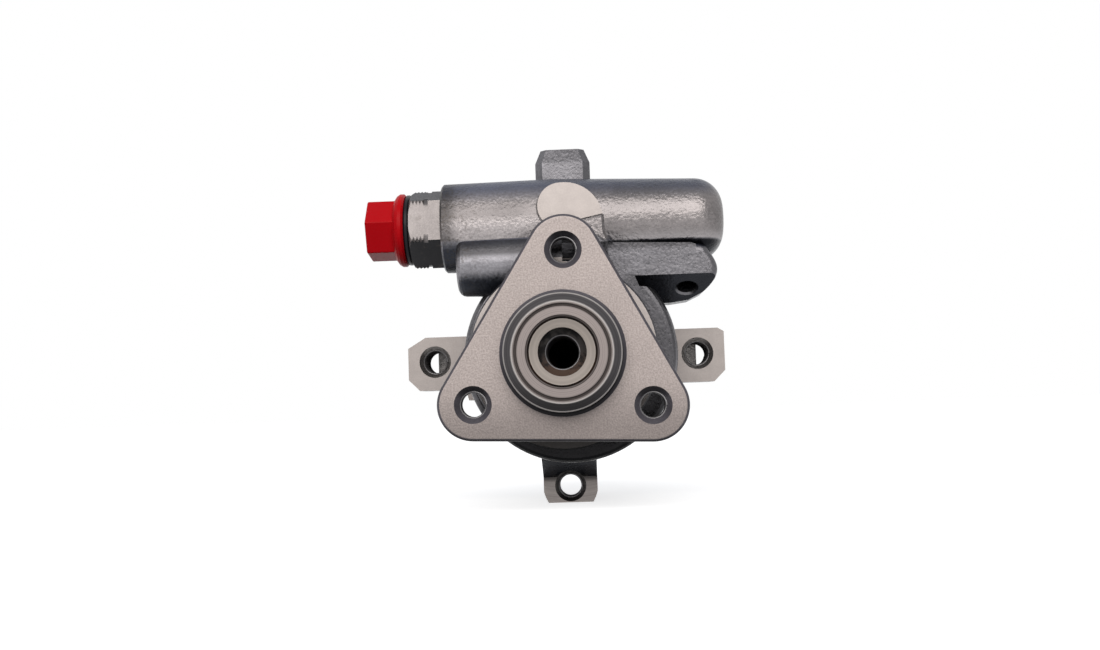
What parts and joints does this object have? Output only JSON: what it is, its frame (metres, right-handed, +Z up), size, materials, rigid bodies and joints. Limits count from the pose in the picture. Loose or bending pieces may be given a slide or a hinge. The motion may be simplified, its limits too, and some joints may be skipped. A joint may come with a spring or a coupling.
{
  "type": "power steering pump",
  "caption": "Vane-type power steering pump with a three-hole pulley flange, a valve barrel, three mounting ears and a capped outlet.",
  "frame": {"origin": "on the shaft axis, in the front face of the pulley flange", "axes": "+Y along the shaft from the pulley to the back of the pump, +Z up towards the inlet, +X to the right seen from the pulley"},
  "size_m": [0.1127, 0.099, 0.1152],
  "materials": {
    "cast_iron": "blasted casting, slightly rough",
    "machined_steel": "turned and fine blasted",
    "spring_steel": "oil-hardened wire and strip",
    "ground_iron": "ground faces",
    "plated_steel": "turned, dull plating",
    "bronze": "turned bronze",
    "black_rubber": "moulded rubber",
    "red_plastic": "moulded, glossy"
  },
  "bodies": {
    "pump_body": {"housing": "cast_iron", "bearing_retaining_ring": "spring_steel", "bearing_outer_ring": "machined_steel", "shaft_seal": "black_rubber", "shaft_bush": "bronze", "thrust_plate": "ground_iron", "cam_ring": "ground_iron", "pressure_plate": "ground_iron", "pressure_plate_seal": "black_rubber", "pressure_plate_spring": "spring_steel", "dowel_pins": "machined_steel", "end_cover": "ground_iron", "end_cover_seal": "black_rubber", "end_cover_retaining_ring": "spring_steel", "outlet_fitting": "plated_steel", "fitting_seal": "black_rubber", "port_cap": "red_plastic", "port_cap_seal": "black_rubber", "passage_plug": "machined_steel", "spool_spring": "spring_steel"},
    "rotating_group": {"pulley_flange": "machined_steel", "shaft": "machined_steel", "bearing_inner_ring": "machined_steel", "rotor": "machined_steel", "rotor_retaining_ring": "spring_steel"},
    "ball_set": {"bearing_balls": "machined_steel", "bearing_cage": "bronze"},
    "spool_body": {"valve_spool": "machined_steel", "relief_plug": "machined_steel", "relief_spring": "spring_steel"},
    "relief_body": {"relief_ball": "machined_steel", "relief_guide": "machined_steel"},
    "vane_01_body": {"vane_01": "machined_steel"},
    "vane_02_body": {"vane_02": "machined_steel"},
    "vane_03_body": {"vane_03": "machined_steel"},
    "vane_04_body": {"vane_04": "machined_steel"},
    "vane_05_body": {"vane_05": "machined_steel"},
    "vane_06_body": {"vane_06": "machined_steel"},
    "vane_07_body": {"vane_07": "machined_steel"},
    "vane_08_body": {"vane_08": "machined_steel"},
    "vane_09_body": {"vane_09": "machined_steel"},
    "vane_10_body": {"vane_10": "machined_steel"}
  },
  "joints": [
    {"name": "shaft_spin", "type": "hinge", "parent": "pump_body", "child": "rotating_group", "pos_m": [0, 0, 0], "axis": [0, 1, 0], "continuous": true},
    {"name": "ball_set_spin", "type": "hinge", "parent": "pump_body", "child": "ball_set", "pos_m": [0, 0.02175, 0], "axis": [0, 1, 0], "continuous": true},
    {"name": "spool_slide", "type": "slide", "parent": "pump_body", "child": "spool_body", "axis": [1, 0, 0], "range_m": [0, 0.009], "stiffness_N_per_m": 3000, "springref_m": -0.006, "deforming": ["spool_spring"]},
    {"name": "relief_slide", "type": "slide", "parent": "spool_body", "child": "relief_body", "axis": [-1, 0, 0], "range_m": [0, 0.001], "stiffness_N_per_m": 3000, "springref_m": -0.002, "deforming": ["relief_spring"]},
    {"name": "vane_01_slide", "type": "slide", "parent": "rotating_group", "child": "vane_01_body", "axis": [1, 0, 0], "range_m": [-0.0007, 0]},
    {"name": "vane_02_slide", "type": "slide", "parent": "rotating_group", "child": "vane_02_body", "axis": [0.809, 0, 0.5878], "range_m": [-0.0007, 0]},
    {"name": "vane_03_slide", "type": "slide", "parent": "rotating_group", "child": "vane_03_body", "axis": [0.309, 0, 0.9511], "range_m": [-0.0007, 0]},
    {"name": "vane_04_slide", "type": "slide", "parent": "rotating_group", "child": "vane_04_body", "axis": [-0.309, 0, 0.9511], "range_m": [-0.0007, 0]},
    {"name": "vane_05_slide", "type": "slide", "parent": "rotating_group", "child": "vane_05_body", "axis": [-0.809, 0, 0.5878], "range_m": [-0.0007, 0]},
    {"name": "vane_06_slide", "type": "slide", "parent": "rotating_group", "child": "vane_06_body", "axis": [-1, 0, 0], "range_m": [-0.0007, 0]},
    {"name": "vane_07_slide", "type": "slide", "parent": "rotating_group", "child": "vane_07_body", "axis": [-0.809, 0, -0.5878], "range_m": [-0.0007, 0]},
    {"name": "vane_08_slide", "type": "slide", "parent": "rotating_group", "child": "vane_08_body", "axis": [-0.309, 0, -0.9511], "range_m": [-0.0007, 0]},
    {"name": "vane_09_slide", "type": "slide", "parent": "rotating_group", "child": "vane_09_body", "axis": [0.309, 0, -0.9511], "range_m": [-0.0007, 0]},
    {"name": "vane_10_slide", "type": "slide", "parent": "rotating_group", "child": "vane_10_body", "axis": [0.809, 0, -0.5878], "range_m": [-0.0007, 0]}
  ],
  "couplings": [
    {"joint": "ball_set_spin", "follows": "shaft_spin", "ratio": 0.38149}
  ]
}
